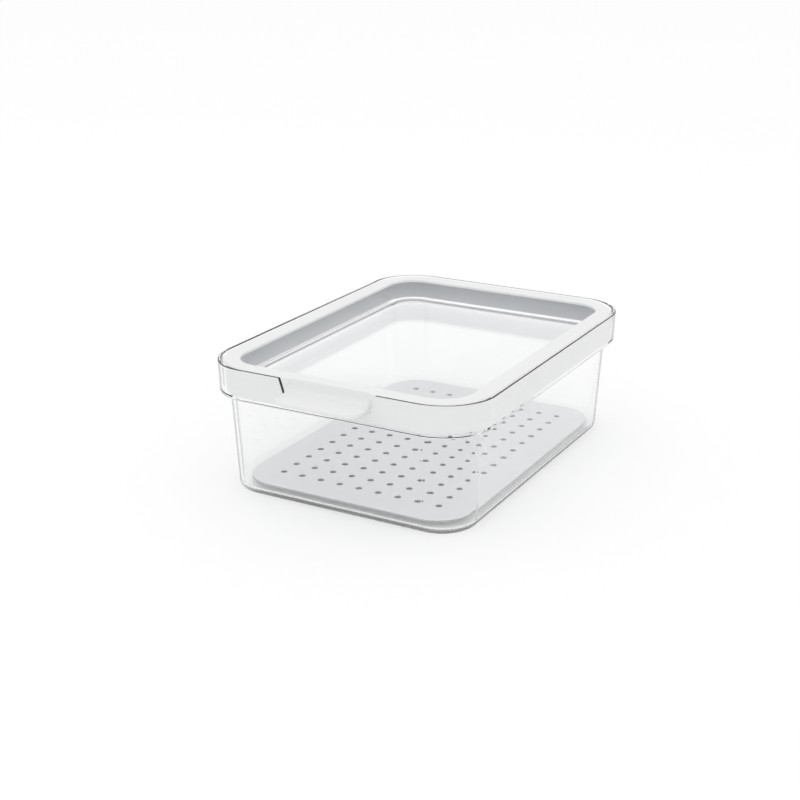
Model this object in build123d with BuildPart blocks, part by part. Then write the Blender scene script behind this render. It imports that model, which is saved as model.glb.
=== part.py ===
from build123d import *
import os
from math import radians, tan

# Clear refrigerator bin with a lift-off window lid and a perforated drip tray.
# Millimetres, +Z up. X runs across the front, which faces -Y and has the thumb tab.
# The origin is the centre of the base's underside.

os.makedirs("parts", exist_ok=True)

# Container: a tapered body, a ledge round its mouth and an upright collar on the ledge
width = 136.0
depth = 184.0
height = 62.0
collar_height = 14.9
collar_wall = 1.6
collar_radius = 24.0
collar_draft = 1.9
collar_foot_round = 0.8
rim_round = 0.5
ledge_thickness = 1.6
body_inset = 4.9
body_radius = 20.0
body_draft = 3.4
body_wall = 1.8
base_round = 3.0
floor_thickness = 2.0
floor_round = 2.0

# Notch in the front of the collar, wider at the rim than at its foot
notch_slope = 17.0
notch_side_gap = 0.6
notch_foot_gap = 0.6

# Lid frame: a flat ring with a skirt that stands on the container's ledge
rim_step = 0.2
skirt_gap = 0.3
skirt_wall = 1.5
frame_radius = 25.0
frame_width = 8.2
frame_thickness = 1.2
frame_round = 0.5
opening_radius = 14.0
opening_round = 0.3

# Thumb tab, which reaches out through the notch, and the scoop behind it
tab_width = 42.0
tab_reach = 12.0
tab_thickness = 2.0
tab_drop = 5.7
tab_corner = 6.3
tab_round = 0.6
scoop_width = 43.0
scoop_depth = 0.9
scoop_round = 3.0

# Lid window: a pane with a stepped upstand, whose tongue sits in the frame's groove
window_wall = 1.5
lip = 0.3
recess_depth = 9.9
shelf_width = 2.2
shelf_height = 1.7
shelf_round = 0.3
tongue_setback = 0.5
tongue_width = 0.7
tongue_height = 0.4
groove_gap = 0.1

# Drip tray, which stands on short feet on the container's floor
tray_gap = 2.6
tray_radius = 17.0
tray_plate = 1.2
tray_round = 0.5
foot_height = 2.0
foot_radius = 3.0
foot_inset = 10.5
hole_radius = 1.6
hole_margin = 15.55
hole_columns = 9
hole_rows = 13

# Levels above the surface that the bin stands on
collar_foot = height - collar_height
ledge = collar_foot + ledge_thickness
lid_top = height - rim_step
frame_underside = lid_top - frame_thickness
tab_top = lid_top - tab_drop
tab_underside = tab_top - tab_thickness
notch_foot = tab_underside - notch_foot_gap
shelf = lid_top - recess_depth
pane_top = shelf - shelf_height
pane_underside = pane_top - window_wall
tray_underside = floor_thickness + foot_height

# Insets from the collar's outer faces at the rim
mouth_inset = body_inset + body_wall - ledge_thickness * tan(radians(body_draft))
floor_inset = mouth_inset + (ledge - floor_thickness) * tan(radians(body_draft))
frame_inset = collar_wall + skirt_gap
opening_inset = frame_inset + frame_width
upstand_inset = opening_inset - lip
pane_inset = upstand_inset + shelf_width
tongue_inset = upstand_inset - tongue_setback
tray_inset = floor_inset + tray_gap

# Where the front of the lid's skirt stands, measured from the middle of the bin
skirt_front = depth / 2 - frame_inset
tab_front = depth / 2 + tab_reach


def outline(inset, radius, level):
    """A rounded rectangle at a level, set in from the collar's outer faces."""
    with BuildSketch(Plane.XY.offset(level)) as plan:
        RectangleRounded(width - 2 * inset, depth - 2 * inset, radius)
    return plan.sketch


def ring(outer_inset, inner_inset, middle_inset, middle_radius, level):
    """A rounded ring whose two edges run parallel to an outline of a known radius."""
    with BuildSketch(Plane.XY.offset(level)) as plan:
        for inset, mode in ((outer_inset, Mode.ADD), (inner_inset, Mode.SUBTRACT)):
            radius = middle_radius + middle_inset - inset
            RectangleRounded(width - 2 * inset, depth - 2 * inset, radius, mode=mode)
    return plan.sketch


# The space inside the body, down to the floor
with BuildPart() as cavity:
    extrude(
        outline(mouth_inset, body_radius - body_wall, ledge),
        amount=floor_thickness - ledge,
        taper=body_draft,
    )
    fillet(cavity.faces().sort_by(Axis.Z)[0].edges(), floor_round)

with BuildPart() as container:
    extrude(outline(0, collar_radius, height), amount=-collar_height, taper=collar_draft)
    fillet(container.faces().sort_by(Axis.Z)[0].edges(), collar_foot_round)
    extrude(outline(body_inset, body_radius, collar_foot), amount=-collar_foot, taper=body_draft)
    fillet(container.faces().sort_by(Axis.Z)[0].edges(), base_round)
    extrude(
        outline(collar_wall, collar_radius - collar_wall, height),
        amount=ledge - height,
        taper=collar_draft,
        mode=Mode.SUBTRACT,
    )
    add(cavity.part, mode=Mode.SUBTRACT)
    fillet(container.faces().sort_by(Axis.Z)[-1].edges(), rim_round)
    # The notch is a trapezium, cut outwards through the front of the collar
    with BuildSketch(Plane.XZ.offset(skirt_front)) as notch:
        foot_half = tab_width / 2 + notch_side_gap
        rim_half = foot_half + (height - notch_foot) * tan(radians(notch_slope))
        with BuildLine():
            Polyline(
                (-rim_half, height),
                (-foot_half, notch_foot),
                (foot_half, notch_foot),
                (rim_half, height),
                close=True,
            )
        make_face()
    extrude(amount=2 * frame_inset, mode=Mode.SUBTRACT)
container.part.label = "container"
export_step(container.part, "parts/container.step")

# The flat tab, from the skirt's inner face to its rounded front
with BuildPart() as tab:
    with BuildSketch(Plane.XY.offset(tab_underside)) as tab_plan:
        tab_back = skirt_front - skirt_wall
        with Locations((0, -(tab_back + tab_front) / 2)):
            Rectangle(tab_width, tab_front - tab_back)
        fillet(tab_plan.vertices().sort_by(Axis.Y)[:2], tab_corner)
    extrude(amount=tab_thickness)
    fillet(tab.faces().sort_by(Axis.Z)[-1].edges().sort_by(Axis.Y)[:-1], tab_round)
    fillet(tab.faces().sort_by(Axis.Z)[0].edges().sort_by(Axis.Y)[:-1], tab_round)

# What the scoop takes out of the skirt, with soft inner corners
with BuildPart() as scoop:
    with BuildSketch(Plane.XY.offset(tab_top)):
        scoop_back = skirt_front - scoop_depth
        with Locations((0, -(scoop_back + tab_front) / 2)):
            Rectangle(scoop_width, tab_front - scoop_back)
    extrude(amount=tab_drop + rim_step)
    fillet(scoop.edges().filter_by(Axis.Z).sort_by(Axis.Y)[-2:], scoop_round)
    fillet(scoop.faces().sort_by(Axis.Z)[0].edges().sort_by(Axis.Y)[-3:], scoop_round)

with BuildPart() as lid_frame:
    extrude(outline(frame_inset, frame_radius, lid_top), amount=ledge - lid_top, taper=collar_draft)
    fillet(lid_frame.faces().sort_by(Axis.Z)[-1].edges(), frame_round)
    extrude(
        outline(frame_inset + skirt_wall, frame_radius - skirt_wall, frame_underside),
        amount=ledge - frame_underside,
        taper=collar_draft,
        mode=Mode.SUBTRACT,
    )
    extrude(
        outline(opening_inset, opening_radius, lid_top),
        amount=-frame_thickness,
        mode=Mode.SUBTRACT,
    )
    fillet(lid_frame.faces().sort_by(Axis.Z)[-1].inner_wires()[0].edges(), opening_round)
    # The groove that takes the window's tongue
    extrude(
        ring(
            tongue_inset - tongue_width - groove_gap,
            tongue_inset + groove_gap,
            opening_inset,
            opening_radius,
            frame_underside,
        ),
        amount=tongue_height + groove_gap,
        mode=Mode.SUBTRACT,
    )
    # Backing, which keeps the skirt's thickness where the scoop dips into it
    with BuildSketch(Plane.XY.offset(tab_underside)):
        backing_back = skirt_front - scoop_depth - skirt_wall
        with Locations((0, -(skirt_front - skirt_wall / 2 + backing_back) / 2)):
            Rectangle(scoop_width + 2 * skirt_wall, skirt_front - skirt_wall / 2 - backing_back)
    extrude(amount=frame_underside - tab_underside)
    # The heel in front of the skirt, from which the scoop's lower curve is cut
    with BuildSketch(Plane.XY.offset(tab_underside)):
        heel_front = skirt_front - scoop_depth + scoop_round
        with Locations((0, -(heel_front + tab_back) / 2)):
            Rectangle(tab_width, heel_front - tab_back)
    extrude(amount=tab_thickness + scoop_round)
    add(tab.part)
    add(scoop.part, mode=Mode.SUBTRACT)
lid_frame.part.label = "lid_frame"
export_step(lid_frame.part, "parts/lid_frame.step")

with BuildPart() as lid_window:
    extrude(
        outline(pane_inset - window_wall, opening_radius + opening_inset - pane_inset + window_wall, shelf),
        amount=pane_underside - shelf,
    )
    extrude(
        outline(upstand_inset - window_wall, opening_radius + lip + window_wall, frame_underside),
        amount=shelf - window_wall - frame_underside,
    )
    extrude(
        ring(
            tongue_inset - tongue_width,
            tongue_inset,
            opening_inset,
            opening_radius,
            frame_underside,
        ),
        amount=tongue_height,
    )
    extrude(
        outline(upstand_inset, opening_radius + lip, frame_underside),
        amount=shelf - frame_underside,
        mode=Mode.SUBTRACT,
    )
    extrude(
        outline(pane_inset, opening_radius + opening_inset - pane_inset, shelf),
        amount=-shelf_height,
        mode=Mode.SUBTRACT,
    )
    fillet(lid_window.edges(Select.LAST).group_by(Axis.Z)[-1], shelf_round)
lid_window.part.label = "lid_window"
export_step(lid_window.part, "parts/lid_window.step")

with BuildPart() as drip_tray:
    tray_width = width - 2 * tray_inset
    tray_depth = depth - 2 * tray_inset
    extrude(outline(tray_inset, tray_radius, tray_underside), amount=tray_plate)
    fillet(drip_tray.faces().sort_by(Axis.Z)[-1].edges(), tray_round)
    with BuildSketch(Plane.XY.offset(floor_thickness)):
        with GridLocations(tray_width - 2 * foot_inset, tray_depth / 2 - foot_inset, 2, 3):
            Circle(foot_radius)
    extrude(amount=foot_height)
    with BuildSketch(Plane.XY.offset(tray_underside)):
        column_pitch = (tray_width - 2 * hole_margin) / (hole_columns - 1)
        row_pitch = (tray_depth - 2 * hole_margin) / (hole_rows - 1)
        with GridLocations(column_pitch, row_pitch, hole_columns, hole_rows):
            Circle(hole_radius)
    extrude(amount=tray_plate, mode=Mode.SUBTRACT)
drip_tray.part.label = "drip_tray"
export_step(drip_tray.part, "parts/drip_tray.step")
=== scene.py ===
# %% [markdown]
# # A clear fridge bin with a framed window lid
# The bin is four moulded pieces: a clear box with an upright collar round its mouth, a white
# lid frame with a thumb tab, a clear window welded into that frame, and a pale grey tray
# with a grid of holes that stands on the box's floor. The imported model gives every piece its
# true shape and place, so this lesson is about plastic: how to light it and how to describe
# clear, satin and matt surfaces so that they read as moulded parts.

from math import radians

import bmesh
import bpy
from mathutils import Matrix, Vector

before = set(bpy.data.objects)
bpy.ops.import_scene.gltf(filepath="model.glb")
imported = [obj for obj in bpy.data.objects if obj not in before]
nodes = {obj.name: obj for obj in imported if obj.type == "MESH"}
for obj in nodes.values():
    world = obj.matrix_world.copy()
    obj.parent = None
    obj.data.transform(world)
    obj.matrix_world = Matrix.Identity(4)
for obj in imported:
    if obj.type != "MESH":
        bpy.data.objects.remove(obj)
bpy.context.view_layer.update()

# %% [markdown]
# ## Camera
# The photograph looks down at the bin from its front right corner. The lens and the place of
# the camera were worked out from the bin's own edges, which are 136 mm and 184 mm long. A
# tracking constraint could aim the camera, but rotating it by the view's elevation and
# azimuth keeps the two angles readable.

# %% Camera
AZIMUTH = radians(28.97)
ELEVATION = radians(19.86)
LENS_MM = 64.4
SENSOR_MM = 36.0
CAMERA_PLACE = Vector((0.3056, -0.5787, 0.2634))

camera_data = bpy.data.cameras.new("camera")
camera_data.lens = LENS_MM
camera_data.sensor_width = SENSOR_MM
camera = bpy.data.objects.new("camera", camera_data)
camera.location = CAMERA_PLACE
camera.rotation_euler = (radians(90) - ELEVATION, 0, AZIMUTH)
bpy.context.scene.collection.objects.link(camera)
bpy.context.scene.camera = camera
print("camera is", round(CAMERA_PLACE.length, 3), "m from the bin's base")

# %% [markdown]
# ## Light
# Clear plastic shows what is behind it, so the room is a plain white tent: an even world that
# lights everything alike, and one large soft lamp above for a little shape. The camera sees
# the world as pure white, also through the plastic and in its gloss. Small helpers come
# first, because every material below is built from the same few kinds of node.

# %% Helpers for nodes
WHITE = (1, 1, 1, 1)


def new_tree(owner):
    """Turns nodes on and empties the tree, so that every node is one we placed."""
    owner.use_nodes = True
    owner.node_tree.nodes.clear()
    return owner.node_tree


def add_node(tree, kind, **values):
    """Adds a node and sets the named input sockets."""
    node = tree.nodes.new(kind)
    for name, value in values.items():
        node.inputs[name.replace("_", " ")].default_value = value
    return node


def maths(tree, operation, first, second):
    """A math node on two values or sockets."""
    node = tree.nodes.new("ShaderNodeMath")
    node.operation = operation
    for socket, value in zip(node.inputs, (first, second)):
        if isinstance(value, float):
            socket.default_value = value
        else:
            tree.links.new(value, socket)
    return node.outputs[0]


def mix_shaders(tree, factor, first, second):
    """Mixes two shader nodes by a factor and returns the shader that comes out."""
    choice = tree.nodes.new("ShaderNodeMixShader")
    tree.links.new(factor, choice.inputs[0])
    tree.links.new(first.outputs[0], choice.inputs[1])
    tree.links.new(second.outputs[0], choice.inputs[2])
    return choice.outputs[0]


def seen_directly(tree):
    """1 for rays from the camera, in gloss and through clear pieces, 0 for lighting rays."""
    path = tree.nodes.new("ShaderNodeLightPath")
    camera_or_gloss = maths(tree, "MAXIMUM", path.outputs["Is Camera Ray"], path.outputs["Is Glossy Ray"])
    return maths(tree, "MAXIMUM", camera_or_gloss, path.outputs["Is Transmission Ray"])


# %% World and lamp
WORLD_LEVEL = 0.98
LAMP_SIZE = 1.6
LAMP_WATTS = 0.8
LAMP_PLACE = Vector((-0.2, -0.3, 1.3))

world = bpy.data.worlds.new("tent")
tree = new_tree(world)
lighting = add_node(tree, "ShaderNodeBackground", Color=WHITE, Strength=WORLD_LEVEL)
backdrop = add_node(tree, "ShaderNodeBackground", Color=WHITE, Strength=1.0)
output = tree.nodes.new("ShaderNodeOutputWorld")
tree.links.new(mix_shaders(tree, seen_directly(tree), lighting, backdrop), output.inputs["Surface"])
bpy.context.scene.world = world

lamp_data = bpy.data.lights.new("softbox", "AREA")
lamp_data.shape = "DISK"
lamp_data.size = LAMP_SIZE
lamp_data.energy = LAMP_WATTS
lamp = bpy.data.objects.new("softbox", lamp_data)
lamp.location = LAMP_PLACE
lamp.rotation_euler = LAMP_PLACE.to_track_quat("Z", "Y").to_euler()
bpy.context.scene.collection.objects.link(lamp)
print("tent at", WORLD_LEVEL, "and a softbox of", LAMP_WATTS, "W")

# %% [markdown]
# ## Floor
# The floor has to be as white as the backdrop and still keep the bin's contact shadow. It
# adds a faint glow to a white surface: in the open the sum is white, and close to the bin
# and under it mostly the glow is left. Lighting rays meet an ordinary white floor. The floor
# lies a hair above the bin's underside, because two faces in one plane flicker, and so the
# base shows the white below it as wet glass would.

# %% Floor
FLOOR_SIZE = 6.0
FLOOR_GLOW = 0.12
FLOOR_SEEN = (0.88, 0.88, 0.88, 1)
FLOOR_LIT = (0.9, 0.9, 0.9, 1)
FLOOR_RISE = 0.0001

floor_mesh = bpy.data.meshes.new("floor")
floor_bmesh = bmesh.new()
bmesh.ops.create_grid(floor_bmesh, x_segments=1, y_segments=1, size=FLOOR_SIZE / 2)
floor_bmesh.to_mesh(floor_mesh)
floor_bmesh.free()
floor = bpy.data.objects.new("floor", floor_mesh)
floor.location.z = FLOOR_RISE
bpy.context.scene.collection.objects.link(floor)

floor_material = bpy.data.materials.new("floor white")
tree = new_tree(floor_material)
lit_floor = add_node(tree, "ShaderNodeBsdfDiffuse", Color=FLOOR_LIT)
seen_floor = add_node(tree, "ShaderNodeBsdfDiffuse", Color=FLOOR_SEEN)
glow = add_node(tree, "ShaderNodeEmission", Color=WHITE, Strength=FLOOR_GLOW)
both = tree.nodes.new("ShaderNodeAddShader")
output = tree.nodes.new("ShaderNodeOutputMaterial")
tree.links.new(seen_floor.outputs[0], both.inputs[0])
tree.links.new(glow.outputs[0], both.inputs[1])
tree.links.new(mix_shaders(tree, seen_directly(tree), lit_floor, both), output.inputs["Surface"])
floor_mesh.materials.append(floor_material)
print("floor is", FLOOR_SIZE, "m wide")

# %% [markdown]
# ## A moulded surface
# No moulded plastic is perfectly even. A fine spark-eroded grain breaks up the gloss, and a
# slow ripple is left by the way the plastic flowed and shrank. One node group makes both,
# and each plastic takes its own share of them. A second group masks by height, which is
# how a colour can change along a moulded edge without any change to the mesh.

# %% Helpers for node groups


def new_group(name, inputs, outputs):
    """A shader node group with float sockets, and its input and output nodes."""
    group = bpy.data.node_groups.new(name, "ShaderNodeTree")
    for title, value in inputs.items():
        socket = group.interface.new_socket(title, in_out="INPUT", socket_type="NodeSocketFloat")
        socket.default_value = value
    for title in outputs:
        group.interface.new_socket(title, in_out="OUTPUT", socket_type="NodeSocketFloat")
    return group, group.nodes.new("NodeGroupInput"), group.nodes.new("NodeGroupOutput")


def noise_on_object(group, scale, detail):
    """Noise that is fixed to the object, whatever its pose."""
    place = group.nodes.new("ShaderNodeTexCoord")
    noise = add_node(group, "ShaderNodeTexNoise", Scale=scale, Detail=detail)
    group.links.new(place.outputs["Object"], noise.inputs["Vector"])
    return noise.outputs["Fac"]


# %% Grain and ripple
GRAIN_PER_METRE = 1800.0
GRAIN_DETAIL = 2.0
RIPPLE_PER_METRE = 16.0
RIPPLE_DETAIL = 1.0


def moulded_surface():
    """A group that gives a varied roughness, a height for bump and a slow change of tone."""
    inputs = {"Roughness": 0.4, "Variation": 0.05, "Grain": 1.0, "Ripple": 0.0}
    group, entry, leave = new_group("moulded surface", inputs, ("Roughness", "Height", "Tone"))
    fine = noise_on_object(group, GRAIN_PER_METRE, GRAIN_DETAIL)
    slow = noise_on_object(group, RIPPLE_PER_METRE, RIPPLE_DETAIL)
    centred = maths(group, "SUBTRACT", fine, 0.5)
    spread = maths(group, "MULTIPLY", centred, entry.outputs["Variation"])
    rough = maths(group, "ADD", entry.outputs["Roughness"], spread)
    grain = maths(group, "MULTIPLY", fine, entry.outputs["Grain"])
    ripple = maths(group, "MULTIPLY", slow, entry.outputs["Ripple"])
    group.links.new(rough, leave.inputs["Roughness"])
    group.links.new(maths(group, "ADD", grain, ripple), leave.inputs["Height"])
    group.links.new(slow, leave.inputs["Tone"])
    return group


MOULDED = moulded_surface()

# %% Height mask


def height_mask():
    """A group that is 0 below one height on the object and 1 above another, in metres."""
    group, entry, leave = new_group("height mask", {"Low": 0.0, "High": 0.001}, ("Above",))
    place = group.nodes.new("ShaderNodeTexCoord")
    split = group.nodes.new("ShaderNodeSeparateXYZ")
    ramp = group.nodes.new("ShaderNodeMapRange")
    group.links.new(place.outputs["Object"], split.inputs[0])
    group.links.new(split.outputs["Z"], ramp.inputs["Value"])
    group.links.new(entry.outputs["Low"], ramp.inputs["From Min"])
    group.links.new(entry.outputs["High"], ramp.inputs["From Max"])
    group.links.new(ramp.outputs["Result"], leave.inputs["Above"])
    return group


HEIGHT_MASK = height_mask()
print("node groups:", MOULDED.name, "and", HEIGHT_MASK.name)

# %% Helpers for materials


def use_group(tree, group, **values):
    """Adds a group node and sets its inputs."""
    node = tree.nodes.new("ShaderNodeGroup")
    node.node_tree = group
    for name, value in values.items():
        node.inputs[name].default_value = value
    return node


def above(tree, low, high):
    """0 below one height on the object and 1 above another."""
    return use_group(tree, HEIGHT_MASK, Low=low, High=high).outputs["Above"]


def mix_colours(tree, factor, first, second):
    """Mixes two colours, each a value or a socket, and returns the colour that comes out."""
    node = tree.nodes.new("ShaderNodeMix")
    node.data_type = "RGBA"
    tree.links.new(factor, node.inputs["Factor"])
    colour_inputs = [socket for socket in node.inputs if socket.type == "RGBA"]
    for socket, colour in zip(colour_inputs, (first, second)):
        if isinstance(colour, tuple):
            socket.default_value = colour
        else:
            tree.links.new(colour, socket)
    return next(socket for socket in node.outputs if socket.type == "RGBA")


def dress(node, material):
    """Gives every material slot of a CAD node one material."""
    for slot in nodes[node].material_slots:
        slot.material = material
    print(node, "wears", material.name)


# %% [markdown]
# ## Clear plastic
# The box and the window are polished and clear. A thin see-through shader would be quick but
# draws no rims, so real refraction on the closed solids is used. A faint grey inside the
# wall darkens whatever light runs a long way in it, above all at the cut edge of the notch,
# and a painted shade in the colour darkens upright faces that turn away from the viewer, to
# draw dark rims. Lighting rays pass straight through, so that the pieces inside are lit.

# %% Darker edges
# Painted shade: upright clear faces darken as they turn away from the viewer.
EDGE_PAINTED_SHADE = (0.2, 0.21, 0.23, 1)
EDGE_START = 0.68
EDGE_FULL = 0.8


def edge_factor(tree):
    """1 where an upright face turns away from the viewer, 0 on floors and where it faces them."""
    facing = add_node(tree, "ShaderNodeLayerWeight", Blend=0.5)
    grazing = add_node(tree, "ShaderNodeMapRange", From_Min=EDGE_START, From_Max=EDGE_FULL)
    shape = tree.nodes.new("ShaderNodeNewGeometry")
    split = tree.nodes.new("ShaderNodeSeparateXYZ")
    tree.links.new(facing.outputs["Facing"], grazing.inputs["Value"])
    tree.links.new(shape.outputs["Normal"], split.inputs[0])
    level = maths(tree, "MULTIPLY", split.outputs["Z"], split.outputs["Z"])
    upright = maths(tree, "SUBTRACT", 1.0, level)
    return maths(tree, "MULTIPLY", grazing.outputs["Result"], upright)


# %% Clear plastic
PLASTIC_IOR = 1.5
SMOKE = (0.45, 0.49, 0.53, 1)


def clear_plastic(name, ior, tint, density, dress_bands=None):
    """Refracting plastic with painted shade at grazing angles, that lets lighting rays pass."""
    material = bpy.data.materials.new(name)
    tree = new_tree(material)
    glass = add_node(
        tree, "ShaderNodeBsdfPrincipled", Roughness=0.0, IOR=ior, Transmission_Weight=1.0
    )
    inside = add_node(tree, "ShaderNodeVolumeAbsorption", Color=SMOKE, Density=density)
    through = add_node(tree, "ShaderNodeBsdfTransparent", Color=tint)
    base = tint
    if dress_bands:
        base = dress_bands(tree, glass, tint)
    edged = mix_colours(tree, edge_factor(tree), base, EDGE_PAINTED_SHADE)
    tree.links.new(edged, glass.inputs["Base Color"])
    path = tree.nodes.new("ShaderNodeLightPath")
    lighting = maths(tree, "MAXIMUM", path.outputs["Is Shadow Ray"], path.outputs["Is Diffuse Ray"])
    output = tree.nodes.new("ShaderNodeOutputMaterial")
    tree.links.new(mix_shaders(tree, lighting, glass, through), output.inputs["Surface"])
    tree.links.new(inside.outputs[0], output.inputs["Volume"])
    return material


# %% Clear box
BIN_CLEAR = (0.997, 0.998, 0.998, 1)
BIN_DENSITY = 3.0
dress("container", clear_plastic("clear bin plastic", PLASTIC_IOR, BIN_CLEAR, BIN_DENSITY))

# %% [markdown]
# ## The window's bands
# The window's upstand and the small step round the pane are tinted grey: painted shade that
# darkens what is seen through them. The ledge between them catches the light from above and
# draws a bright line. A faint glow, a painted highlight, stands in for that light, because a
# clear ledge shows the dark channel behind it instead. The window refracts less than the
# bin, so that its pane mirrors the upstand only faintly.

# %% Window
PANE_TOP = 0.0502
LEDGE_TOP = 0.0519
BLEND = 0.0001
# Painted shade: a grey tint on the upstand and the step round the pane.
PAINTED_SHADE_GREY = (0.78, 0.79, 0.80, 1)
DARK = (0.0, 0.0, 0.0, 1)
# Painted highlight: a faint glow on the ledge.
LEDGE_PAINTED_HIGHLIGHT = (0.42, 0.42, 0.425, 1)
WINDOW_CLEAR = (0.975, 0.978, 0.982, 1)
WINDOW_DENSITY = 8.0
WINDOW_IOR = 1.3


def window_bands(tree, glass, tint):
    """Paints shade on the step and the upstand as a grey tint, and a highlight on the ledge as a glow."""
    step = above(tree, PANE_TOP + BLEND, PANE_TOP + 2 * BLEND)
    ledge = above(tree, LEDGE_TOP - 2 * BLEND, LEDGE_TOP - BLEND)
    upstand = above(tree, LEDGE_TOP + BLEND, LEDGE_TOP + 2 * BLEND)
    ledge_highlight_band = maths(tree, "SUBTRACT", ledge, upstand)
    tree.links.new(mix_colours(tree, ledge_highlight_band, DARK, LEDGE_PAINTED_HIGHLIGHT), glass.inputs["Emission Color"])
    glass.inputs["Emission Strength"].default_value = 1.0
    colour = mix_colours(tree, step, tint, PAINTED_SHADE_GREY)
    colour = mix_colours(tree, ledge, colour, tint)
    return mix_colours(tree, upstand, colour, PAINTED_SHADE_GREY)


window_plastic = clear_plastic(
    "clear window plastic", WINDOW_IOR, WINDOW_CLEAR, WINDOW_DENSITY, window_bands
)
dress("lid_window", window_plastic)

# %% [markdown]
# ## White and grey plastic
# The lid frame is satin white with a very fine grain. The tray is a cooler, matt light grey
# whose coarser grain hides scratches. Below its rounded top edge the tray's colour is painted
# darker, on its side and in its holes: painted shade for the little light that reaches the
# narrow gap round it. A picture could paint that shade, but a mask on height follows the edge
# and every hole by itself.

# %% Solid plastics
TONE_SHIFT = 0.985
ROUGHNESS_VARIATION = 0.08
RIPPLE_SHARE = 3.0
BUMP_DEPTH = 0.00002


def solid_plastic(name, colour, roughness, grain, painted_shade=None):
    """An opaque moulded plastic. A painted shade is a colour and the two heights where it ends."""
    material = bpy.data.materials.new(name)
    tree = new_tree(material)
    body = add_node(tree, "ShaderNodeBsdfPrincipled", IOR=PLASTIC_IOR)
    surface = use_group(
        tree,
        MOULDED,
        Roughness=roughness,
        Variation=ROUGHNESS_VARIATION,
        Grain=grain,
        Ripple=RIPPLE_SHARE,
    )
    dull = tuple(TONE_SHIFT * value for value in colour)
    base = mix_colours(tree, surface.outputs["Tone"], (*dull, 1), (*colour, 1))
    if painted_shade:
        painted_shade_colour, low, high = painted_shade
        # A painted shade darkens the colour below the given heights.
        base = mix_colours(tree, above(tree, low, high), (*painted_shade_colour, 1), base)
    bump = add_node(tree, "ShaderNodeBump", Strength=1.0, Distance=BUMP_DEPTH)
    output = tree.nodes.new("ShaderNodeOutputMaterial")
    tree.links.new(base, body.inputs["Base Color"])
    tree.links.new(surface.outputs["Roughness"], body.inputs["Roughness"])
    tree.links.new(surface.outputs["Height"], bump.inputs["Height"])
    tree.links.new(bump.outputs["Normal"], body.inputs["Normal"])
    tree.links.new(body.outputs[0], output.inputs["Surface"])
    return material


# %% White lid frame
FRAME_WHITE = (0.84, 0.845, 0.845)
FRAME_ROUGHNESS = 0.42
FRAME_GRAIN = 0.6
dress("lid_frame", solid_plastic("satin white frame", FRAME_WHITE, FRAME_ROUGHNESS, FRAME_GRAIN))

# %% Grey tray
TRAY_GREY = (0.80, 0.81, 0.82)
TRAY_ROUGHNESS = 0.5
TRAY_GRAIN = 1.2
TRAY_TOP = 0.0052
# Painted shade: darker below the tray's top edge, on its side and in its holes.
TRAY_PAINTED_SHADE = ((0.42, 0.43, 0.44), TRAY_TOP - 0.0004, TRAY_TOP - 0.0002)
dress("drip_tray", solid_plastic("matt grey tray", TRAY_GREY, TRAY_ROUGHNESS, TRAY_GRAIN, TRAY_PAINTED_SHADE))

# %% [markdown]
# ## Finish
# The Standard view keeps every colour as it is written. No piece is added to the model, so
# its size as dressed is its size as loaded.

# %% Colour settings
bpy.context.scene.view_settings.view_transform = "Standard"
